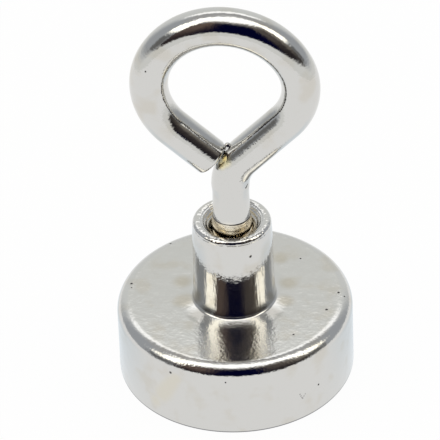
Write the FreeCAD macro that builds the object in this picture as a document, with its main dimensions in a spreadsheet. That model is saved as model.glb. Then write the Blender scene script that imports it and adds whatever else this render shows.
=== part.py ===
import FreeCAD, Part
import math
import os
import Sketcher
from FreeCAD import Vector

# A pot magnet: a low steel pot with a threaded boss in one piece, the disc magnet
# and its resin in the cavity underneath, and an eye bolt bent from one wire.
# The origin is the centre of the magnetic face, +Z is up along the boss, and the
# plane of the eye is XZ.

# Driving dimensions in millimetres, angles in degrees
dimensions = {
    # pot
    "pot_diameter": 20.0,
    "pot_height": 6.9,
    "pot_edge_radius": 1.2,
    "pot_foot_chamfer": 0.1,
    "pot_floor": 2.5,
    "pot_wall": 1.5,
    "cavity_lead_in": 0.25,
    # boss
    "boss_height": 8.15,
    "boss_draft_angle": 0.5,
    "boss_root_radius": 0.25,
    "boss_rim_width": 0.68,
    "boss_rim_chamfer": 0.35,
    # tapped hole, its M4 thread drawn as a plain cylinder at the pitch diameter
    "thread_diameter": 3.55,
    "thread_clearance": 0.05,
    "countersink_width": 0.875,
    "countersink_angle": 90.0,
    "drill_point_angle": 118.0,
    "hole_floor": 0.73,
    # magnet and resin
    "resin_gap": 0.5,
    "magnet_recess": 0.1,
    "magnet_chamfer": 0.3,
    "resin_recess": 0.25,
    # thread of the eye bolt
    "thread_end_clearance": 1.15,
    "thread_stand_out": 0.55,
    "thread_run_out": 1.2,
    "thread_point": 0.5,
    # wire and eye
    "wire_diameter": 3.22,
    "shank_diameter": 3.1,
    "shank_taper": 0.5,
    "neck_height": 5.37,
    "neck_bend_radius": 4.2,
    "right_leg_angle": 46.8,
    "left_leg_angle": 42.9,
    "right_side_radius": 5.17,
    "left_side_radius": 5.89,
    "eye_top_radius": 6.38,
    "right_shoulder_angle": 63.0,
    "left_shoulder_angle": 67.7,
    "eye_offset": -0.13,
    "butt_gap": 0.1,
    "cut_chamfer": 0.3,
}

# How a sketch names the points of a curve and its own origin
start_point, end_point, centre_point = range(1, 4)
origin = (-1, start_point)
same_place = 1e-4

document = FreeCAD.newDocument("pot_magnet")
sheet = document.addObject("Spreadsheet::Sheet", "Sizes")
for row, (alias, number) in enumerate(dimensions.items(), start=1):
    sheet.set(f"A{row}", alias)
    sheet.set(f"B{row}", str(number))
    sheet.setAlias(f"B{row}", alias)
document.recompute()

# Radii that several features or pieces share
pot_radius = "(Sizes.pot_diameter / 2)"
cavity_radius = f"({pot_radius} - Sizes.pot_wall)"
magnet_radius = f"({cavity_radius} - Sizes.resin_gap)"
thread_radius = "(Sizes.thread_diameter / 2)"
bore_radius = f"({thread_radius} + Sizes.thread_clearance)"
sink_radius = f"({bore_radius} + Sizes.countersink_width)"
boss_top_radius = f"({sink_radius} + Sizes.boss_rim_width)"
boss_base_radius = f"({boss_top_radius} + Sizes.boss_height * tan(Sizes.boss_draft_angle * 1deg))"
wire_radius = "(Sizes.wire_diameter / 2)"
shank_radius = "(Sizes.shank_diameter / 2)"

# Heights above the magnetic face that several pieces share
boss_top = "(Sizes.pot_height + Sizes.boss_height)"
cavity_depth = "(Sizes.pot_height - Sizes.pot_floor)"
hole_tip = f"({cavity_depth} + Sizes.hole_floor)"
hole_end = f"({hole_tip} + {bore_radius} / tan(Sizes.drill_point_angle / 2 * 1deg))"
thread_end = f"({hole_end} + Sizes.thread_end_clearance)"
thread_top = f"({boss_top} + Sizes.thread_stand_out)"
neck_top = f"({boss_top} + Sizes.neck_height)"
bend_foot = f"({neck_top} - Sizes.neck_bend_radius * tan((90 - Sizes.right_leg_angle) / 2 * 1deg))"


def measure(expression):
    return float(FreeCAD.Units.Quantity(str(sheet.evalExpression(expression.replace("Sizes.", "")))).Value)


def new_body(label):
    body = document.addObject("PartDesign::Body", label)
    body.Label = label
    body.Placement = FreeCAD.Placement()
    return body


def new_sketch(body, plane_role, name, lift=None):
    sketch = body.newObject("Sketcher::SketchObject", name)
    plane = next(item for item in body.Origin.OriginFeatures if item.Role == plane_role)
    sketch.AttachmentSupport = [(plane, "")]
    sketch.MapMode = "FlatFace"
    if lift:
        sketch.setExpression("AttachmentOffset.Base.z", lift)
    return sketch


def drive(sketch, kind, references, expression):
    # A constraint whose value follows an expression of the sheet
    number = measure(expression)
    if kind == "Angle":
        number = math.radians(number)
    index = sketch.addConstraint(Sketcher.Constraint(kind, *references, number))
    sketch.setExpression(f"Constraints[{index}]", expression)


def closed_profile(sketch, corners):
    # Straight sides through corners given as (radius, height) expressions
    points = [Vector(measure(across), measure(up), 0) for across, up in corners]
    count = len(points)
    for index in range(count):
        sketch.addGeometry(Part.LineSegment(points[index], points[(index + 1) % count]))
    for index in range(count):
        following = (index + 1) % count
        sketch.addConstraint(Sketcher.Constraint("Coincident", index, end_point, following, start_point))
    for index, (across, up) in enumerate(corners):
        if across == "0":
            sketch.addConstraint(Sketcher.Constraint("Vertical", index, start_point, *origin))
        else:
            drive(sketch, "DistanceX", (*origin, index, start_point), across)
        if up == "0":
            sketch.addConstraint(Sketcher.Constraint("Horizontal", index, start_point, *origin))
        else:
            drive(sketch, "DistanceY", (*origin, index, start_point), up)


def centred_circle(sketch, radius):
    circle = sketch.addGeometry(Part.Circle(Vector(0, 0, 0), Vector(0, 0, 1), measure(radius)))
    sketch.addConstraint(Sketcher.Constraint("Coincident", circle, centre_point, *origin))
    drive(sketch, "Radius", (circle,), radius)


def turn(body, kind, name, corners):
    # A full turn of a closed profile about the axis of the part
    sketch = new_sketch(body, "XZ_Plane", f"{name}_profile")
    closed_profile(sketch, corners)
    feature = body.newObject(f"PartDesign::{kind}", name)
    feature.Profile = sketch
    feature.ReferenceAxis = (sketch, ["V_Axis"])
    feature.Angle = 360
    document.recompute()
    return feature


def circle_edges(feature, radius, centre):
    found = []
    for index, edge in enumerate(feature.Shape.Edges, start=1):
        curve = edge.Curve
        if not isinstance(curve, Part.Circle):
            continue
        if abs(curve.Radius - radius) < same_place and curve.Center.distanceToPoint(centre) < same_place:
            found.append(f"Edge{index}")
    return found


def edge_feature(body, kind, name, size_name, expression, radius, centre):
    # A fillet or chamfer on the circular edge of the given radius and centre
    base = body.Tip
    feature = body.newObject(f"PartDesign::{kind}", name)
    feature.Base = (base, circle_edges(base, radius, centre))
    feature.setExpression(size_name, expression)
    document.recompute()
    return feature


def turned_edge(body, kind, name, expression, radius, height):
    size_name = {"Fillet": "Radius", "Chamfer": "Size"}[kind]
    centre = Vector(0, 0, measure(height))
    return edge_feature(body, kind, name, size_name, expression, measure(radius), centre)


def make_pot_housing():
    body = new_body("pot_housing")
    turn(body, "Revolution", "blank", [
        ("0", "0"),
        (pot_radius, "0"),
        (pot_radius, "Sizes.pot_height"),
        (boss_base_radius, "Sizes.pot_height"),
        (boss_top_radius, boss_top),
        ("0", boss_top),
    ])
    turned_edge(body, "Fillet", "pot_edge", "Sizes.pot_edge_radius", pot_radius, "Sizes.pot_height")
    turned_edge(body, "Fillet", "boss_root", "Sizes.boss_root_radius", boss_base_radius, "Sizes.pot_height")
    turned_edge(body, "Chamfer", "boss_rim", "Sizes.boss_rim_chamfer", boss_top_radius, boss_top)
    turned_edge(body, "Chamfer", "pot_foot", "Sizes.pot_foot_chamfer", pot_radius, "0")

    mouth = new_sketch(body, "XY_Plane", "cavity_mouth")
    centred_circle(mouth, cavity_radius)
    cavity = body.newObject("PartDesign::Pocket", "cavity")
    cavity.Profile = mouth
    cavity.setExpression("Length", cavity_depth)
    cavity.Reversed = True
    document.recompute()
    turned_edge(body, "Chamfer", "cavity_lead_in", "Sizes.cavity_lead_in", cavity_radius, "0")

    sink_depth = "Sizes.countersink_width / tan(Sizes.countersink_angle / 2 * 1deg)"
    turn(body, "Groove", "tapped_hole", [
        ("0", boss_top),
        (sink_radius, boss_top),
        (bore_radius, f"{boss_top} - {sink_depth}"),
        (bore_radius, hole_end),
        ("0", hole_tip),
    ])
    return body


def make_disc_magnet():
    body = new_body("disc_magnet")
    outline = new_sketch(body, "XY_Plane", "disc_outline", "Sizes.magnet_recess")
    centred_circle(outline, magnet_radius)
    disc = body.newObject("PartDesign::Pad", "disc")
    disc.Profile = outline
    disc.setExpression("Length", f"{cavity_depth} - Sizes.magnet_recess")
    document.recompute()
    turned_edge(body, "Chamfer", "lower_edge", "Sizes.magnet_chamfer", magnet_radius, "Sizes.magnet_recess")
    turned_edge(body, "Chamfer", "upper_edge", "Sizes.magnet_chamfer", magnet_radius, cavity_depth)
    return body


def make_resin_ring():
    body = new_body("resin_ring")
    level = "(Sizes.magnet_recess + Sizes.magnet_chamfer + Sizes.resin_recess)"
    turn(body, "Revolution", "ring", [
        (magnet_radius, level),
        (cavity_radius, level),
        (cavity_radius, cavity_depth),
        (magnet_radius, cavity_depth),
    ])
    return body


def from_centre(centre, radius, degrees):
    angle = math.radians(degrees)
    return centre + Vector(radius * math.cos(angle), radius * math.sin(angle), 0)


def arc_about(centre, radius, first_degrees, last_degrees):
    circle = Part.Circle(centre, Vector(0, 0, 1), radius)
    return Part.ArcOfCircle(circle, math.radians(first_degrees), math.radians(last_degrees))


def eye_geometry():
    # Where the solver starts from: the wire from the foot of its bend, over the eye, to its cut end
    right_angle, left_angle = measure("Sizes.right_leg_angle"), measure("Sizes.left_leg_angle")
    right_shoulder = 90 - measure("Sizes.right_shoulder_angle")
    left_shoulder = 90 + measure("Sizes.left_shoulder_angle")
    top_radius = measure("Sizes.eye_top_radius")
    right_radius, left_radius = measure("Sizes.right_side_radius"), measure("Sizes.left_side_radius")
    bend_radius = measure("Sizes.neck_bend_radius")
    neck = Vector(0, measure(neck_top), 0)

    # The right leg points at the neck, which settles the height of the eye's centre
    first_centre = Vector(measure("Sizes.eye_offset"), 0, 0)
    right_centre = from_centre(first_centre, top_radius - right_radius, right_shoulder)
    leg_end = from_centre(right_centre, right_radius, right_angle - 90)
    rise = neck.y - (leg_end.y - leg_end.x * math.tan(math.radians(right_angle)))
    right_centre.y += rise
    leg_end.y += rise
    top_centre = Vector(measure("Sizes.eye_offset"), rise, 0)
    left_centre = from_centre(top_centre, top_radius - left_radius, left_shoulder)
    free_start = from_centre(left_centre, left_radius, 270 - left_angle)

    # The free leg ends where the upper edge of its cut meets the right leg
    radius = measure(wire_radius)
    upper_start = from_centre(free_start, radius, 90 - left_angle)
    across = from_centre(Vector(0, 0, 0), 1, right_angle + 90)
    spare = (upper_start - neck).dot(across) - radius - measure("Sizes.butt_gap")
    free_length = spare / math.sin(math.radians(right_angle + left_angle))
    free_end = from_centre(free_start, free_length, -left_angle)

    bend_centre = Vector(bend_radius, measure(bend_foot), 0)
    leg_start = from_centre(bend_centre, bend_radius, 90 + right_angle)
    return [
        arc_about(bend_centre, bend_radius, 90 + right_angle, 180),
        Part.LineSegment(leg_start, leg_end),
        arc_about(right_centre, right_radius, right_angle - 90, right_shoulder),
        arc_about(top_centre, top_radius, right_shoulder, left_shoulder),
        arc_about(left_centre, left_radius, left_shoulder, 270 - left_angle),
        Part.LineSegment(free_start, free_end),
        Part.LineSegment(free_end, from_centre(free_end, radius, 90 - left_angle)),
    ]


def make_wire_path(body):
    sketch = new_sketch(body, "XZ_Plane", "wire_path")
    bend, right_leg, right_side, top, left_side, free_leg, cut = range(7)
    for item in eye_geometry():
        sketch.addGeometry(item)
    sketch.setConstruction(cut, True)

    def tie(kind, *references):
        sketch.addConstraint(Sketcher.Constraint(kind, *references))

    tie("Vertical", bend, end_point, *origin)
    tie("Horizontal", bend, end_point, bend, centre_point)
    tie("Tangent", bend, start_point, right_leg, start_point)
    tie("Tangent", right_leg, end_point, right_side, start_point)
    tie("Tangent", right_side, end_point, top, start_point)
    tie("Tangent", top, end_point, left_side, start_point)
    tie("Tangent", left_side, end_point, free_leg, start_point)
    tie("Coincident", cut, start_point, free_leg, end_point)
    tie("Perpendicular", cut, free_leg)

    drive(sketch, "DistanceY", (*origin, bend, end_point), bend_foot)
    drive(sketch, "DistanceX", (*origin, top, centre_point), "Sizes.eye_offset")
    drive(sketch, "Radius", (bend,), "Sizes.neck_bend_radius")
    drive(sketch, "Radius", (right_side,), "Sizes.right_side_radius")
    drive(sketch, "Radius", (top,), "Sizes.eye_top_radius")
    drive(sketch, "Radius", (left_side,), "Sizes.left_side_radius")
    drive(sketch, "Angle", (right_leg,), "Sizes.right_leg_angle")
    drive(sketch, "Angle", (free_leg,), "-Sizes.left_leg_angle")
    drive(sketch, "Angle", (right_side,), "180 - Sizes.right_leg_angle - Sizes.right_shoulder_angle")
    drive(sketch, "Angle", (left_side,), "180 - Sizes.left_leg_angle - Sizes.left_shoulder_angle")
    drive(sketch, "Distance", (cut,), wire_radius)
    drive(sketch, "Distance", (cut, end_point, right_leg), f"{wire_radius} + Sizes.butt_gap")
    document.recompute()
    return sketch


def make_eye_bolt():
    body = new_body("eye_bolt")
    path = make_wire_path(body)
    section = new_sketch(body, "XY_Plane", "wire_section", bend_foot)
    centred_circle(section, wire_radius)
    wire = body.newObject("PartDesign::AdditivePipe", "bent_wire")
    wire.Profile = section
    wire.Spine = (path, [f"Edge{index}" for index in range(1, len(path.Shape.Edges) + 1)])
    document.recompute()
    free_leg = path.Shape.Edges[-1]
    cut_centre = free_leg.Vertexes[-1].Point
    edge_feature(body, "Chamfer", "cut_edge", "Size", "Sizes.cut_chamfer", measure(wire_radius), cut_centre)
    turn(body, "Revolution", "shank_and_thread", [
        ("0", thread_end),
        (f"{thread_radius} - Sizes.thread_point", thread_end),
        (thread_radius, f"{thread_end} + Sizes.thread_point"),
        (thread_radius, f"{thread_top} - Sizes.thread_run_out"),
        (shank_radius, thread_top),
        (shank_radius, f"{bend_foot} - Sizes.shank_taper"),
        (wire_radius, bend_foot),
        ("0", bend_foot),
    ])
    return body


def check_document(bodies):
    for item in document.Objects:
        if "Invalid" in item.State or "Error" in item.State:
            raise RuntimeError(f"{item.Label} failed: {item.State}")
    for body in bodies:
        if body.Shape.isNull() or not body.Shape.isValid():
            raise RuntimeError(f"{body.Label} has no valid shape")


def write_parts(bodies):
    os.makedirs("parts", exist_ok=True)
    for body in bodies:
        body.Shape.exportStep(f"parts/{body.Label}.step")
        print(body.Label, len(body.Shape.Solids), "solid", round(body.Shape.Volume, 2), "cubic mm")


pieces = [make_pot_housing(), make_disc_magnet(), make_resin_ring(), make_eye_bolt()]
document.recompute()
check_document(pieces)
write_parts(pieces)
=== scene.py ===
import math

import bmesh
import bpy
from mathutils import Matrix, Vector


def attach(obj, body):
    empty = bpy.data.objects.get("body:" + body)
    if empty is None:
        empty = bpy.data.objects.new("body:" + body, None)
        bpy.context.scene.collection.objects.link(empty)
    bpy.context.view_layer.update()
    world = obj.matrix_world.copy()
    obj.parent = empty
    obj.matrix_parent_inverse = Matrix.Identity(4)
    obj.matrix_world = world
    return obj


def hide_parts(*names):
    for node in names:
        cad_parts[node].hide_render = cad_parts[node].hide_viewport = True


# A small pot magnet with an eye bolt, on white, seen from a little above.
# Sizes in the dictionaries are millimetres and degrees. A pair such as (118, 150) is where a soft
# edge begins and ends, and a third number makes it a band with that much softness at its edges.

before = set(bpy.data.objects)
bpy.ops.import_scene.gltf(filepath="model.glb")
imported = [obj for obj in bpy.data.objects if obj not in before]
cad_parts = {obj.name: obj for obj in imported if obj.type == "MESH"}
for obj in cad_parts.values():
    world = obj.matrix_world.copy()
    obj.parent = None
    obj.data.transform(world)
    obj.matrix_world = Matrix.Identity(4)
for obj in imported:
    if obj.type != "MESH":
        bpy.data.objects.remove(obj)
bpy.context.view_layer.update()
mm = 0.001

camera = {
    "target": (0.0, 0.0, 12.0),
    "distance": 400.0,
    "azimuth": 8.03,
    "elevation": 37.86,
    "roll": -2.246,
    "aimRight": -1.08,
    "aimUp": 2.291,
    "lens": 388.7,
    "sensor": 36.0,
    "nearest": 20.0,
    "furthest": 5000.0,
}


class Signal:
    # One socket of a node tree, used like a number

    def __init__(self, tree, socket=None):
        self.tree = tree
        self.socket = socket

    def add(self, kind, values=None, take=0, **settings):
        # Any node: its settings first, then the values or links of its inputs
        node = self.tree.nodes.new(kind)
        for name, setting in settings.items():
            setattr(node, name, setting)
        for name, value in (values or {}).items():
            if isinstance(value, Signal):
                self.tree.links.new(value.socket, node.inputs[name])
            else:
                node.inputs[name].default_value = value
        return Signal(self.tree, node.outputs[take] if node.outputs else None)

    def math(self, operation, *terms):
        return self.add("ShaderNodeMath", dict(enumerate(terms)), operation=operation)

    def __add__(self, other):
        return self.math("ADD", self, other)

    def __sub__(self, other):
        return self.math("SUBTRACT", self, other)

    def __rsub__(self, other):
        return self.math("SUBTRACT", other, self)

    def __mul__(self, other):
        return self.math("MULTIPLY", self, other)

    def __truediv__(self, other):
        return self.math("DIVIDE", self, other)

    def __pow__(self, other):
        return self.math("POWER", self, other)

    def __abs__(self):
        return self.math("ABSOLUTE", self)

    __radd__ = __add__
    __rmul__ = __mul__

    def most(self, other):
        return self.math("MAXIMUM", self, other)

    def step(self, low, high):
        # 0 below low, 1 above high, smooth between them
        values = {"Value": self, "From Min": low, "From Max": high}
        return self.add("ShaderNodeMapRange", values, interpolation_type="SMOOTHSTEP")

    def band(self, low, high, soft):
        return self.step(low - soft, low + soft) * (1 - self.step(high - soft, high + soft))

    def vectorMath(self, operation, other, take=0):
        values = {0: self, 1: other}
        return self.add("ShaderNodeVectorMath", values, take=take, operation=operation)

    def dot(self, direction):
        return self.vectorMath("DOT_PRODUCT", direction, "Value")

    def away(self, spot):
        return self.vectorMath("DISTANCE", spot, "Value")

    def stretched(self, factors):
        return self.vectorMath("MULTIPLY", factors)

    def near(self, spot, radius, core):
        # 1 within a share of the radius round the spot, 0 outside the radius
        return 1 - self.away(spot).step(core * radius, radius)

    def paint(self, below, above):
        # A colour between two others, with self as the share of the second
        values = {0: self, 6: below, 7: above}
        return self.add("ShaderNodeMix", values, take=2, data_type="RGBA")

    def noise(self, size, detail):
        # Self is a place, size the length of one swell
        values = {"Vector": self, "Scale": 1 / size, "Detail": detail}
        return self.add("ShaderNodeTexNoise", values, take="Fac")


def colour(red, green, paintedReflectionBlue):
    return (red, green, paintedReflectionBlue, 1.0)


def grey(level):
    return colour(level, level, level)


def newTree(name):
    material = bpy.data.materials.new(name)
    material.use_nodes = True
    material.node_tree.nodes.clear()
    return material, Signal(material.node_tree)


def placeOnObject(start):
    # Object coordinates in millimetres
    return start.add("ShaderNodeTexCoord", take="Object").stretched((1 / mm, 1 / mm, 1 / mm))


def cameraAxes():
    yaw, tilt = math.radians(camera["azimuth"]), math.radians(camera["elevation"])
    back = Vector((math.sin(yaw) * math.cos(tilt), -math.cos(yaw) * math.cos(tilt), math.sin(tilt)))
    right = Vector((math.cos(yaw), math.sin(yaw), 0))
    return right, back.cross(right), back


# Camera
def placeCamera():
    right, up, back = cameraAxes()
    roll = Matrix.Rotation(math.radians(camera["roll"]), 3, back)
    right, up = roll @ right, roll @ up
    aim = Vector(camera["target"]) + camera["aimRight"] * right + camera["aimUp"] * up
    place = (aim + camera["distance"] * back) * mm
    shot = bpy.data.cameras.new("shot")
    shot.lens = camera["lens"]
    shot.sensor_width = camera["sensor"]
    shot.clip_start, shot.clip_end = camera["nearest"] * mm, camera["furthest"] * mm
    holder = bpy.data.objects.new("shot", shot)
    turned = Matrix((right, up, back)).transposed().to_4x4()
    holder.matrix_world = Matrix.Translation(place) @ turned
    bpy.context.scene.collection.objects.link(holder)
    bpy.context.scene.camera = holder
    bpy.context.scene.view_settings.view_transform = "Standard"


placeCamera()
print("camera placed")


# Studio: grey walls, a white ceiling over the front, a soft box on each side and a dark hood
# round the lens. A bearing is degrees to the right of the camera and aside the same to either
# side, a height is degrees above the floor, and a roof angle runs from the front horizon over
# the top to the back
studio = {
    "sideGrey": (0.44, 0.46, 0.49),
    "backGrey": (0.81, 0.825, 0.82),
    "backAside": (118, 150),
    "dimLow": 0.47,
    "dimHigh": 0.66,
    "dimRise": (66, 82),
    "dimRoof": (97, 122, 2),
    "dimFoot": (42, 54),
    "paleTone": (0.81, 0.82, 0.80),
    "paleAside": (150, 164),
    "paleHeight": (31, 46, 3),
    "lamp": 1.5,
    "lampRoof": (123, 137, 1.5),
    "lampAside": (130, 148),
    "ceiling": 1.62,
    "ceilingEnd": (95, 99),
    "ceilingFoot": (55, 63),
    "boxLight": (2.4, 2.3, 2.05),
    "leftBox": (-88, -56, 4),
    "rightBox": (68, 94, 4),
    "boxFoot": (23, 37),
    "feetGrey": 0.17,
    "feetAside": (60, 86, 5),
    "feetHeight": (2, 24, 4),
    "floorGlow": (0.86, 0.865, 0.85),
    "horizon": (-3, 3.5),
    "horizonDrop": 11,
    "dropAside": (50, 90),
}

hood = {
    "centre": (6, 10),
    "size": (66, 57),
    "powers": (4, 2.6),
    "edge": (0.78, 1.02),
    "leftTone": (0.15, 0.11, 0.095),
    "rightTone": (0.10, 0.085, 0.078),
    "leftToRight": (-10, 10),
    "farTone": (0.32, 0.29, 0.25),
    "farBearing": (46, 64),
    "lowTone": (0.012, 0.01, 0.014),
    "lowHeight": (38, 5),
    "lowShare": 0.85,
    "blackTone": (0.001, 0.0015, 0.022),
    "blackLeft": (-37, -15),
    "blackRight": (20, 30),
    "topTone": (0.82, 0.78, 0.72),
    "topHeight": (40, 72),
    "topPower": 2,
}


def roomLight(bearing, height, roof):
    # Walls, the dim back of the ceiling, a pale patch and the lamp behind, the white ceiling
    aside = abs(bearing)
    rear = aside.step(*studio["backAside"])
    light = rear.paint(colour(*studio["sideGrey"]), colour(*studio["backGrey"]))
    dim = roof.band(*studio["dimRoof"]) * height.step(*studio["dimFoot"])
    risen = height.step(*studio["dimRise"])
    light = dim.paint(light, risen.paint(grey(studio["dimLow"]), grey(studio["dimHigh"])))
    pale = aside.step(*studio["paleAside"]) * height.band(*studio["paleHeight"])
    light = pale.paint(light, colour(*studio["paleTone"]))
    lamp = roof.band(*studio["lampRoof"]) * aside.step(*studio["lampAside"])
    light = lamp.paint(light, grey(studio["lamp"]))
    ceiling = (1 - roof.step(*studio["ceilingEnd"])) * height.step(*studio["ceilingFoot"])
    light = ceiling.paint(light, grey(studio["ceiling"]))

    # Soft boxes on dark feet
    feet = aside.band(*studio["feetAside"]) * height.band(*studio["feetHeight"])
    light = feet.paint(light, grey(studio["feetGrey"]))
    for name in ("leftBox", "rightBox"):
        box = bearing.band(*studio[name]) * height.step(*studio["boxFoot"])
        light = box.paint(light, colour(*studio["boxLight"]))
    return light


def hoodCloth(bearing, height):
    # Where the hood is, and its colour: black in the middle, brown at the sides, fading upwards
    centre, size, powers = hood["centre"], hood["size"], hood["powers"]
    acrossShare = (abs(bearing - centre[0]) / size[0]) ** powers[0]
    upShare = ((height - centre[1]).most(0) / size[1]) ** powers[1]
    covered = 1 - (acrossShare + upShare).step(*hood["edge"])
    turned = bearing.step(*hood["leftToRight"])
    cloth = turned.paint(colour(*hood["leftTone"]), colour(*hood["rightTone"]))
    cloth = bearing.step(*hood["farBearing"]).paint(cloth, colour(*hood["farTone"]))
    low = height.step(*hood["lowHeight"]) * hood["lowShare"]
    cloth = low.paint(cloth, colour(*hood["lowTone"]))
    black = bearing.step(*hood["blackLeft"]) * (1 - bearing.step(*hood["blackRight"]))
    cloth = black.paint(cloth, colour(*hood["blackTone"]))
    top = height.step(*hood["topHeight"]) ** hood["topPower"]
    return covered, top.paint(cloth, colour(*hood["topTone"]))


def lightStudio():
    world = bpy.data.worlds.new("studio")
    bpy.context.scene.world = world
    world.use_nodes = True
    world.node_tree.nodes.clear()
    start = Signal(world.node_tree)
    right, _, back = cameraAxes()
    front = Vector((back.x, back.y, 0)).normalized()

    way = start.add("ShaderNodeTexCoord", take="Generated")
    toRight, toFront, toTop = way.dot(right), way.dot(front), way.dot((0, 0, 1))
    degrees = 180 / math.pi
    bearing = start.math("ARCTAN2", toRight, toFront) * degrees
    height = start.math("ARCSINE", toTop) * degrees
    roof = start.math("ARCTAN2", toTop, toFront) * degrees

    light = roomLight(bearing, height, roof)
    covered, cloth = hoodCloth(bearing, height)
    light = covered.paint(light, cloth)

    # The floor goes on to the horizon, which is soft at the sides
    begin, end = studio["horizon"]
    begin = begin - studio["horizonDrop"] * abs(bearing).step(*studio["dropAside"])
    light = (1 - height.step(begin, end)).paint(light, colour(*studio["floorGlow"]))

    seen = start.add("ShaderNodeLightPath", take="Is Camera Ray")
    light = seen.paint(light, grey(1.0))
    lit = start.add("ShaderNodeBackground", {"Color": light, "Strength": 1.0})
    start.add("ShaderNodeOutputWorld", {"Surface": lit})


lightStudio()
print("studio lit")


# Floor: white paper, which glows a little blue to mirror rays only where it lies near and behind
# the part, a painted reflection on the metal
paper = {
    "radius": 100.0,
    "corners": 96,
    "white": 0.93,
    "shownWhite": 0.97,
    "paintedReflectionBlue": (0.83, 0.89, 0.94),
    "paintedReflectionReach": (15, 28),
    "paintedReflectionEnd": (-4, 9),
}


def makeFloor():
    mesh = bpy.data.meshes.new("floor")
    shape = bmesh.new()
    radius = paper["radius"] * mm
    bmesh.ops.create_circle(shape, cap_ends=True, segments=paper["corners"], radius=radius)
    shape.to_mesh(mesh)
    shape.free()
    floor = bpy.data.objects.new("floor", mesh)
    bpy.context.scene.collection.objects.link(floor)
    material, start = newTree("white_paper")
    matte = start.add("ShaderNodeBsdfDiffuse", {"Color": grey(paper["white"])})
    seen = start.add("ShaderNodeLightPath", take="Is Camera Ray")
    mirrored = start.add("ShaderNodeLightPath", take="Is Glossy Ray")
    passed = start.add("ShaderNodeLightPath", take="Is Transmission Ray")
    yaw = math.radians(camera["azimuth"])
    place = placeOnObject(start)
    close = 1 - place.away((0, 0, 0)).step(*paper["paintedReflectionReach"])
    nearer = place.dot((math.sin(yaw), -math.cos(yaw), 0))
    # Painted reflection: mirror rays see the paper tinted blue near the part and behind it
    behind = mirrored * close * (1 - nearer.step(*paper["paintedReflectionEnd"]))
    tone = behind.paint(grey(1.0), colour(*paper["paintedReflectionBlue"]))
    glow = start.add("ShaderNodeEmission", {"Color": tone, "Strength": 1.0})
    share = seen.most(mirrored).most(passed) * paper["shownWhite"]
    mixed = start.add("ShaderNodeMixShader", {0: share, 1: matte, 2: glow})
    start.add("ShaderNodeOutputMaterial", {"Surface": mixed})
    mesh.materials.append(material)


makeFloor()
print("floor laid")


# Finishes. Smudges are their size and detail, the swells from waves to dents their size, height
# and detail, and the rings in the countersink their spacing and depth
nickel = {
    "tint": (0.64, 0.635, 0.615),
    "smudge": (0.61, 0.59, 0.545),
    "smudges": (2.2, 2.0),
    "smudgeEdge": (0.5, 0.72),
    "smudgeRough": 0.02,
    # The collar's gold is a painted reflection of warm surroundings
    "collarReflectionTint": (0.78, 0.69, 0.53),
    # A painted contact shadow round the pot's foot
    "footShadowTint": (0.2, 0.2, 0.21),
    "roughness": 0.06,
    "waves": (0.8, 0.014, 1.0),
    "grain": (0.2, 0.008, 3.0),
    "wireGrain": (0.22, 0.009, 3.0),
    "magnetGrain": (0.2, 0.0024, 1.0),
    "streaks": (0.25, 0.024, 2.0),
    "dents": (0.4, 0.05, 1.0),
    "rings": (0.24, 0.012),
    # Dark of the pits, also painting the shadow in the gap at the collar's top
    "pitAndGapShadowTint": (0.09, 0.085, 0.085),
    "pitCore": 0.45,
    "pitDepth": 0.02,
    "pitRough": 0.4,
    "toneMarkCore": 0.2,
}

# Where the pot's plate differs, by height and by distance from the axis, and by how much
potZones = {
    "boss": (7.5, 14.2, 0.25),
    "bossGrain": -0.35,
    "bossStretch": (1, 1, 0.1),
    "edgeOut": (8.5, 9.1),
    "edgeUp": (5.3, 5.7),
    "edgeGrain": 1.1,
    "flat": (6.85, 7.3, 0.05),
    "flatRough": 0.06,
    "wornSpot": (0.9, -6.4, 6.9),
    "wornRadius": 4.4,
    "wornCore": 0.5,
    "wornGrain": 1.3,
    "wornRough": 0.03,
    "mouth": (14.6, 14.75),
    "sinkUp": (14.1, 14.2),
    "sinkOut": (2.55, 2.75),
    "sinkRough": 0.12,
    # Where the painted contact shadow along the foot lies
    "footShadowUp": (0.1, 0.2),
    "footShadowOut": (9.85, 9.95),
}

# The bolt's collar, by height above its top
collarZones = {
    "edge": (-0.14, -0.02),
    # gap: where the painted shadow at the collar's top lies
    "gap": (-0.14, -0.03, 0.02),
    "stretch": (0.12, 0.12, 1.5),
    "scores": 1.6,
    "rough": 0.03,
}

# Tones of real stains and of painted light: shade, warm reflection, highlights and seam shade
stainAndLightTones = {
    "yellow": (0.645, 0.62, 0.55),
    "bossWarmReflection": (0.57, 0.54, 0.475),
    "bossFootShade": (0.42, 0.41, 0.38),
    "scratch": (0.3, 0.29, 0.28),
    "goldStainAndHighlight": (0.98, 0.88, 0.56),
    "paintedCollarHighlight": (0.97, 0.91, 0.78),
    # black: painted shade along the seam between the cut and the neck
    "black": (0.06, 0.05, 0.045),
}


def swells(place, name):
    size, height, detail = nickel[name]
    return place.noise(size, detail) * height


def plainPlate(place):
    # Colour, height in millimetres and roughness of the plate
    smudges = place.noise(*nickel["smudges"]).step(*nickel["smudgeEdge"])
    shade = smudges.paint(colour(*nickel["tint"]), colour(*nickel["smudge"]))
    rough = nickel["roughness"] + nickel["smudgeRough"] * smudges
    return shade, swells(place, "waves"), rough


def magnetPlate(place):
    shade, height, rough = plainPlate(place)
    return shade, height + swells(place, "magnetGrain"), rough


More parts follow.
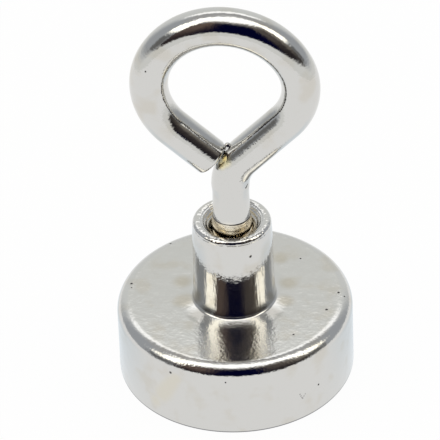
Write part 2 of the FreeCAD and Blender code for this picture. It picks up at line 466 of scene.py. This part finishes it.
def potPlate(place):
    # Coarser on the round edge and where it is worn, streaked down the boss, dented at its mouth
    # and ringed in the countersink, with a painted contact shadow as a dark line along the foot
    shade, height, rough = plainPlate(place)
    up = place.dot((0, 0, 1))
    out = place.stretched((1, 1, 0)).away((0, 0, 0))
    boss = up.band(*potZones["boss"])
    edge = out.step(*potZones["edgeOut"]) * up.step(*potZones["edgeUp"])
    flat = up.band(*potZones["flat"])
    worn = place.near(potZones["wornSpot"], potZones["wornRadius"], potZones["wornCore"]) * flat
    mouth = up.step(*potZones["mouth"])
    sink = up.step(*potZones["sinkUp"]) * (1 - out.step(*potZones["sinkOut"]))
    footShadow = out.step(*potZones["footShadowOut"]) * (1 - up.step(*potZones["footShadowUp"]))
    grain = 1 + potZones["bossGrain"] * boss + potZones["edgeGrain"] * edge
    grain = grain + potZones["wornGrain"] * worn
    height = height + swells(place, "grain") * grain
    height = height + swells(place.stretched(potZones["bossStretch"]), "streaks") * boss
    height = height + swells(place, "dents") * mouth
    spacing, depth = nickel["rings"]
    height = height + out.math("SINE", out * (math.tau / spacing)) * depth * sink
    # Painted contact shadow: a dark line round the foot
    shade = footShadow.paint(shade, colour(*nickel["footShadowTint"]))
    rough = rough + potZones["sinkRough"] * sink + potZones["flatRough"] * flat
    return shade, height, rough + potZones["wornRough"] * worn


def boltPlate(place):
    # Grainy, with a scored collar tinted gold as a painted reflection, and a painted shadow in the
    # gap at the collar's top
    shade, height, rough = plainPlate(place)
    above = place.dot((0, 0, 1)) - eye["collarTop"]
    collar = 1 - above.step(*collarZones["edge"])
    gap = above.band(*collarZones["gap"])
    # Painted reflection: the collar is tinted gold
    shade = collar.paint(shade, colour(*nickel["collarReflectionTint"]))
    # Painted shadow: a dark band in the gap just under the collar's top
    shade = gap.paint(shade, colour(*nickel["pitAndGapShadowTint"]))
    scores = swells(place.stretched(collarZones["stretch"]), "streaks") * collarZones["scores"]
    height = height + swells(place, "wireGrain") * (1 - collar) + scores * collar
    return shade, height, rough + collarZones["rough"] * collar


def nickelPlate(name, plate, pits=(), stainsAndLight=()):
    # Pits are (place, radius), and stains and painted light (place, radius, tone), each place on
    # the surface
    material, start = newTree(name)
    place = placeOnObject(start)
    shade, height, rough = plate(place)
    for spot, radius, tone in stainsAndLight:
        toneMark = place.near(spot, radius, nickel["toneMarkCore"])
        shade = toneMark.paint(shade, colour(*stainAndLightTones[tone]))
    hollow = None
    for spot, radius in pits:
        pit = place.near(spot, radius, nickel["pitCore"])
        hollow = pit if hollow is None else hollow.most(pit)
    if hollow is not None:
        shade = hollow.paint(shade, colour(*nickel["pitAndGapShadowTint"]))
        height = height - hollow * nickel["pitDepth"]
        rough = rough + hollow * nickel["pitRough"]
    relief = {"Height": height, "Strength": 1.0, "Distance": mm}
    metal = start.add("ShaderNodeBsdfPrincipled", {
        "Base Color": shade,
        "Metallic": 1.0,
        "Roughness": rough,
        "Normal": start.add("ShaderNodeBump", relief, take="Normal"),
    })
    start.add("ShaderNodeOutputMaterial", {"Surface": metal})
    return material


# Mesh helpers
def addPiece(name, shape, material):
    bmesh.ops.recalc_face_normals(shape, faces=shape.faces)
    for face in shape.faces:
        face.smooth = True
    mesh = bpy.data.meshes.new(name)
    shape.to_mesh(mesh)
    shape.free()
    mesh.materials.append(material)
    piece = bpy.data.objects.new(name, mesh)
    bpy.context.scene.collection.objects.link(piece)
    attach(piece, "root")
    return piece


def edgesIn(ring):
    return [part for part in ring if isinstance(part, bmesh.types.BMEdge)]


def vertsIn(ring):
    return [part for part in ring if isinstance(part, bmesh.types.BMVert)]


def roundCorner(shape, corner, offset, segments):
    bmesh.ops.bevel(
        shape, geom=[corner], offset=offset * mm, offset_type="OFFSET", affect="VERTICES",
        segments=segments, profile=0.5, material=-1,
    )


def guardRounds(shape, gap):
    # A short edge at each end of every long one keeps the flats flat beside the rounds
    shortest = 6 * gap * mm
    for edge in [e for e in shape.edges if e.calc_length() > shortest]:
        length = edge.calc_length()
        start, end = edge.verts
        bmesh.utils.edge_split(edge, start, gap * mm / length)
        rest = next(e for e in end.link_edges if e.calc_length() < length and start not in e.verts)
        bmesh.utils.edge_split(rest, end, gap * mm / rest.calc_length())


# Pot housing
pot = {
    "radius": 10.0,
    "height": 6.9,
    "wall": 1.5,
    "floor": 2.5,
    "edgeRound": 1.2,
    "footRound": 0.1,
    "leadIn": 0.25,
    "leadRound": 0.03,
    "cavityRound": 0.15,
    "bossTop": 15.05,
    "bossRadius": 3.38,
    "bossDraft": 0.5,
    "shoulder": 1.5,
    "shoulderRound": 0.7,
    "flareHeight": 2.0,
    "flare": 0.07,
    "waistRound": 0.9,
    "rootRound": 0.2,
    "skirtAngle": 12.5,
    "skirtSlope": 0.25,
    "skirtRound": 0.5,
    "rimRadius": 3.3,
    "rimRound": 0.36,
    "sinkRadius": 2.62,
    "sinkRound": 0.26,
    "boreRadius": 1.825,
    "boreRound": 0.05,
    "holeEnd": 6.23,
    "holeTip": 5.13,
    "largeRound": 0.2,
    "largeSteps": 22,
    "smallSteps": 6,
    "guard": 0.02,
    "weld": 0.0001,
    "turns": 224,
}

potPits = [
    ((-8.94, 0.81, 6.89), 0.16), ((-6.31, 6.58, 6.86), 0.13), ((8.77, 0.94, 6.9), 0.15),
    ((7.98, -1.42, 6.9), 0.16), ((5.54, -4.95, 6.9), 0.12), ((9.31, 0.59, 6.78), 0.11),
    ((5.08, 5.31, 6.9), 0.11), ((-8.86, 0.26, 6.9), 0.09), ((-4.42, -8.97, 5.43), 0.16),
    ((7.72, -6.36, 2.75), 0.13), ((0.34, -9.99, 5.51), 0.1), ((1.85, -2.83, 13.34), 0.16),
]

potStainsAndLight = [
    # Painted shade beside the foot of the boss, dimming bright reflections there
    ((-2.8, -3.05, 6.95), 1.15, "bossFootShade"), ((3.5, -2.2, 6.95), 1.15, "bossFootShade"),
    # A faint streak down the wall
    ((-3.99, -9.17, 4.97), 0.8, "yellow"), ((-4.33, -9.01, 4.4), 1.0, "yellow"),
    ((-4.67, -8.84, 3.79), 1.1, "yellow"), ((-5.02, -8.65, 3.1), 1.2, "yellow"),
    ((-5.36, -8.44, 2.53), 1.1, "yellow"), ((-5.96, -8.03, 1.48), 0.9, "yellow"),
    # A hooked scratch on the wall
    ((6.3, -7.77, 2.75), 0.11, "scratch"), ((6.37, -7.71, 2.53), 0.11, "scratch"),
    ((6.44, -7.65, 2.32), 0.11, "scratch"), ((6.5, -7.6, 2.2), 0.11, "scratch"),
    ((6.6, -7.51, 2.38), 0.1, "scratch"), ((6.7, -7.42, 2.55), 0.09, "scratch"),
    # Painted warm reflection, darker and brown, round the boss
    ((3.37, 5.18, 6.9), 1.0, "bossWarmReflection"), ((4.4, -0.55, 6.92), 1.1, "bossWarmReflection"),
    ((-4.2, -1.21, 6.94), 1.3, "bossWarmReflection"), ((-4.6, 1.4, 6.9), 1.2, "bossWarmReflection"),
    ((4.4, 1.9, 6.9), 1.2, "bossWarmReflection"),
]


def potOutline():
    # Radius, height and round of each corner, from the cavity over the edge to the tapped hole
    radius, height, top = pot["radius"], pot["height"], pot["bossTop"]
    cavityTop = height - pot["floor"]
    cavityRadius = radius - pot["wall"]
    slope = math.tan(math.radians(pot["bossDraft"]))
    flareTop = height + pot["flareHeight"]
    waistRadius = pot["bossRadius"] + (top - flareTop) * slope
    footRadius = waistRadius + pot["flareHeight"] * slope + pot["flare"]
    skirtEnd = pot["skirtRound"] + pot["skirtSlope"]
    skirtTop = height + skirtEnd * math.tan(math.radians(pot["skirtAngle"]))
    sinkDepth = pot["sinkRadius"] - pot["boreRadius"]
    return [
        (0, cavityTop, 0),
        (cavityRadius, cavityTop, pot["cavityRound"]),
        (cavityRadius, pot["leadIn"], pot["leadRound"]),
        (cavityRadius + pot["leadIn"], 0, pot["leadRound"]),
        (radius, 0, pot["footRound"]),
        (radius, height, pot["edgeRound"]),
        (footRadius + skirtEnd, height, pot["skirtRound"]),
        (footRadius, skirtTop, pot["rootRound"]),
        (waistRadius, flareTop, pot["waistRound"]),
        (pot["bossRadius"], top - pot["shoulder"], pot["shoulderRound"]),
        (pot["rimRadius"], top, pot["rimRound"]),
        (pot["sinkRadius"], top, pot["sinkRound"]),
        (pot["boreRadius"], top - sinkDepth, pot["boreRound"]),
        (pot["boreRadius"], pot["holeEnd"], 0),
        (0, pot["holeTip"], 0),
    ]


def makePot():
    shape = bmesh.new()
    corners = potOutline()
    points = [shape.verts.new((across * mm, 0, up * mm)) for across, up, _ in corners]
    for first, second in zip(points, points[1:]):
        shape.edges.new((first, second))
    for corner, (_, _, size) in zip(points, corners):
        if size:
            steps = pot["largeSteps"] if size > pot["largeRound"] else pot["smallSteps"]
            roundCorner(shape, corner, size, steps)
    guardRounds(shape, pot["guard"])
    bmesh.ops.spin(
        shape, geom=shape.verts[:] + shape.edges[:], cent=(0, 0, 0), axis=(0, 0, 1),
        dvec=(0, 0, 0), angle=math.tau, steps=pot["turns"], use_merge=True, use_duplicate=False,
    )
    bmesh.ops.remove_doubles(shape, verts=shape.verts, dist=pot["weld"] * mm)
    piece = addPiece("potHousing", shape, nickelPlate("pot_nickel", potPlate, potPits, potStainsAndLight))
    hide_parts("pot_housing")


makePot()
print("pot turned")


# Eye bolt: one wire from the thread up the shank and round the eye to its cut end
eye = {
    "wireRadius": 1.61,
    "shankRadius": 1.55,
    "shankTaper": 0.5,
    "neckTop": 20.42,
    "bendRadius": 4.2,
    "rightAngle": 46.8,
    "leftAngle": 42.9,
    "rightRadius": 5.17,
    "leftRadius": 5.89,
    "topRadius": 6.38,
    "rightShoulder": 63.0,
    "leftShoulder": 67.7,
    "offset": -0.13,
    "buttGap": 0.02,
    "cutRound": 0.3,
    "cutSteps": 8,
    "burrPlace": (-0.1, -0.12, 22.6),
    "burrSize": (0.33, 0.3, 0.5),
    "burrSplits": 4,
    "collarTop": 15.65,
    "collarSteps": [(1.59, -0.1), (1.67, -0.45), (1.69, -0.9)],
    "collarRadius": 1.69,
    "collarSlope": 0.1,
    "collarEnd": 14.3,
    "threadTop": 14.5,
    "threadEnd": 7.38,
    "threadTip": 0.3,
    "threadCrest": 1.775,
    "threadRoot": 1.47,
    "pitch": 0.7,
    "ridgeFoot": 0.36,
    "ridgeTop": 0.07,
    "ridgeSunk": 0.05,
    "ridgeSteps": 48,
    "around": 96,
    "degreesPerRing": 2.0,
}

eyePits = [
    ((-6.44, -1.54, 31.08), 0.1), ((1.4, -0.81, 19.04), 0.14), ((1.46, -0.73, 19.14), 0.12),
    ((1.52, -0.65, 19.24), 0.12),
]

eyeStainsAndLight = [
    # Gold stains on the face of the cut, brightened into a painted highlight, and a painted
    # highlight on the collar
    ((-0.19, -1.05, 21.95), 0.8, "goldStainAndHighlight"), ((-0.55, -1.0, 21.5), 0.65, "goldStainAndHighlight"),
    ((-0.1, -1.69, 14.95), 1.1, "paintedCollarHighlight"),
    # Painted shade along the seam between the cut and the neck
    ((-1.04, -0.51, 21.07), 0.16, "black"), ((-0.76, -0.58, 21.56), 0.16, "black"),
    ((-0.5, -0.61, 21.96), 0.16, "black"), ((-0.24, -0.59, 22.33), 0.16, "black"),
    ((-0.48, 0.12, 22.6), 0.14, "black"), ((-0.45, -0.05, 22.45), 0.14, "black"),
    ((-0.41, -0.25, 22.27), 0.14, "black"),
]


def polar(centre, radius, degrees):
    angle = math.radians(degrees)
    return centre + radius * Vector((math.cos(angle), 0, math.sin(angle)))


def eyePlan():
    # Centres of the arcs and lengths of the legs, in the plane of the eye
    rightAngle, leftAngle = eye["rightAngle"], eye["leftAngle"]
    bendFoot = eye["neckTop"] - eye["bendRadius"] * math.tan(math.radians((90 - rightAngle) / 2))
    bendCentre = Vector((eye["bendRadius"], 0, bendFoot))
    top = Vector((eye["offset"], 0, 0))
    side = polar(top, eye["topRadius"] - eye["rightRadius"], 90 - eye["rightShoulder"])
    legEnd = polar(side, eye["rightRadius"], rightAngle - 90)
    lift = eye["neckTop"] - legEnd.z + legEnd.x * math.tan(math.radians(rightAngle))
    rise = Vector((0, 0, lift))
    top, side, legEnd = top + rise, side + rise, legEnd + rise
    other = polar(top, eye["topRadius"] - eye["leftRadius"], 90 + eye["leftShoulder"])
    freeStart = polar(other, eye["leftRadius"], 270 - leftAngle)
    upper = polar(freeStart, eye["wireRadius"], 90 - leftAngle) - Vector((0, 0, eye["neckTop"]))
    across = polar(Vector(), 1, rightAngle + 90)
    spare = upper.dot(across) - eye["wireRadius"] - eye["buttGap"]
    freeLength = spare / math.sin(math.radians(rightAngle + leftAngle))
    legStart = polar(bendCentre, eye["bendRadius"], 90 + rightAngle)
    return bendFoot, bendCentre, (legEnd - legStart).length, side, top, other, freeLength


def sweepArc(shape, ring, centre, degrees):
    # Positive degrees turn the wire to the left, seen from the front
    steps = max(2, round(abs(degrees) / eye["degreesPerRing"]))
    made = bmesh.ops.spin(
        shape, geom=ring, cent=centre * mm, axis=(0, -1, 0), dvec=(0, 0, 0),
        angle=math.radians(degrees), steps=steps, use_merge=False, use_duplicate=False,
    )
    return made["geom_last"]


def sweepStraight(shape, ring, step):
    made = bmesh.ops.extrude_edge_only(shape, edges=edgesIn(ring))
    verts = vertsIn(made["geom"])
    bmesh.ops.translate(shape, verts=verts, vec=step * mm)
    return verts + edgesIn(made["geom"])


def resizeRing(shape, ring, radius, height):
    # Brings a level ring about the axis to a radius and a height
    verts = vertsIn(ring)
    now = math.hypot(verts[0].co.x, verts[0].co.y)
    bmesh.ops.scale(shape, verts=verts, vec=(radius * mm / now, radius * mm / now, 1))
    bmesh.ops.translate(shape, verts=verts, vec=(0, 0, height * mm - verts[0].co.z))


def addThread(shape):
    # One ridge of four corners, wound up the core
    turns = (eye["threadTop"] - eye["threadEnd"]) / eye["pitch"] - 1
    low = eye["threadEnd"] + eye["pitch"] / 2
    rise = eye["pitch"] / eye["ridgeSteps"] * mm
    outline = [
        (eye["threadRoot"] - eye["ridgeSunk"], -eye["ridgeFoot"]),
        (eye["threadCrest"], -eye["ridgeTop"]),
        (eye["threadCrest"], eye["ridgeTop"]),
        (eye["threadRoot"] - eye["ridgeSunk"], eye["ridgeFoot"]),
    ]
    corners = [shape.verts.new((across * mm, 0, (low + up) * mm)) for across, up in outline]
    sides = [shape.edges.new((corners[index - 1], corners[index])) for index in range(4)]
    shape.faces.new(corners)
    made = bmesh.ops.spin(
        shape, geom=corners + sides, cent=(0, 0, 0), axis=(0, 0, 1), dvec=(0, 0, rise),
        angle=math.tau * turns, steps=round(eye["ridgeSteps"] * turns),
        use_merge=False, use_duplicate=False,
    )
    bmesh.ops.edgeloop_fill(shape, edges=edgesIn(made["geom_last"]))


def addBurr(shape):
    # A lump of plating over the top of the cut
    made = bmesh.ops.create_icosphere(shape, subdivisions=eye["burrSplits"], radius=mm)
    bmesh.ops.scale(shape, verts=made["verts"], vec=eye["burrSize"])
    bmesh.ops.translate(shape, verts=made["verts"], vec=Vector(eye["burrPlace"]) * mm)


def makeEyeBolt():
    bendFoot, bendCentre, legLength, side, top, other, freeLength = eyePlan()
    rightAngle, leftAngle = eye["rightAngle"], eye["leftAngle"]
    shape = bmesh.new()
    bmesh.ops.create_circle(shape, segments=eye["around"], radius=eye["wireRadius"] * mm)
    bmesh.ops.translate(shape, verts=shape.verts, vec=(0, 0, bendFoot * mm))
    first = shape.verts[:] + shape.edges[:]

    # Up and round the eye to the rounded cut
    ring = sweepArc(shape, first, bendCentre, rightAngle - 90)
    ring = sweepStraight(shape, ring, polar(Vector(), legLength, rightAngle))
    ring = sweepArc(shape, ring, side, 180 - rightAngle - eye["rightShoulder"])
    ring = sweepArc(shape, ring, top, eye["rightShoulder"] + eye["leftShoulder"])
    ring = sweepArc(shape, ring, other, 180 - leftAngle - eye["leftShoulder"])
    ring = sweepStraight(shape, ring, polar(Vector(), freeLength, -leftAngle))
    edges = edgesIn(ring)
    bmesh.ops.edgeloop_fill(shape, edges=edges)
    bmesh.ops.bevel(
        shape, geom=edges, offset=eye["cutRound"] * mm, offset_type="OFFSET", affect="EDGES",
        segments=eye["cutSteps"], profile=0.5, material=-1,
    )

    # Down the shank and the collar to the core of the thread
    levels = [
        (eye["shankRadius"], bendFoot - eye["shankTaper"]),
        (eye["shankRadius"], eye["collarTop"]),
        *[(radius, eye["collarTop"] + up) for radius, up in eye["collarSteps"]],
        (eye["collarRadius"], eye["collarEnd"] + eye["collarSlope"]),
        (eye["threadRoot"], eye["collarEnd"]),
        (eye["threadRoot"], eye["threadEnd"] + eye["threadTip"]),
        (eye["threadRoot"] - eye["threadTip"], eye["threadEnd"]),
    ]
    ring = first
    for radius, height in levels:
        ring = sweepStraight(shape, ring, Vector())
        resizeRing(shape, ring, radius, height)
    bmesh.ops.edgeloop_fill(shape, edges=edgesIn(ring))
    addThread(shape)
    addBurr(shape)
    piece = addPiece("eyeBolt", shape, nickelPlate("bolt_nickel", boltPlate, eyePits, eyeStainsAndLight))
    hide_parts("eye_bolt")


makeEyeBolt()
print("eye bolt bent")


# Magnet and resin, seen from underneath
resin = {
    "darkTone": (0.012, 0.012, 0.014),
    "lightTone": (0.03, 0.03, 0.034),
    "grain": (0.3, 2.0),
    "relief": 0.02,
    "roughness": 0.4,
    "grainRough": 0.15,
}


def castResin():
    material, start = newTree("cast_resin")
    grain = placeOnObject(start).noise(*resin["grain"])
    relief = {"Height": grain, "Distance": resin["relief"] * mm}
    body = start.add("ShaderNodeBsdfPrincipled", {
        "Base Color": grain.paint(colour(*resin["darkTone"]), colour(*resin["lightTone"])),
        "Roughness": resin["roughness"] + resin["grainRough"] * grain,
        "Normal": start.add("ShaderNodeBump", relief, take="Normal"),
    })
    start.add("ShaderNodeOutputMaterial", {"Surface": body})
    return material


def dressUnderside():
    finishes = {
        "disc_magnet": nickelPlate("magnet_nickel", magnetPlate),
        "resin_ring": castResin(),
    }
    for name, material in finishes.items():
        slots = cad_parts[name].data.materials
        slots.clear()
        slots.append(material)


dressUnderside()
print("underside dressed")
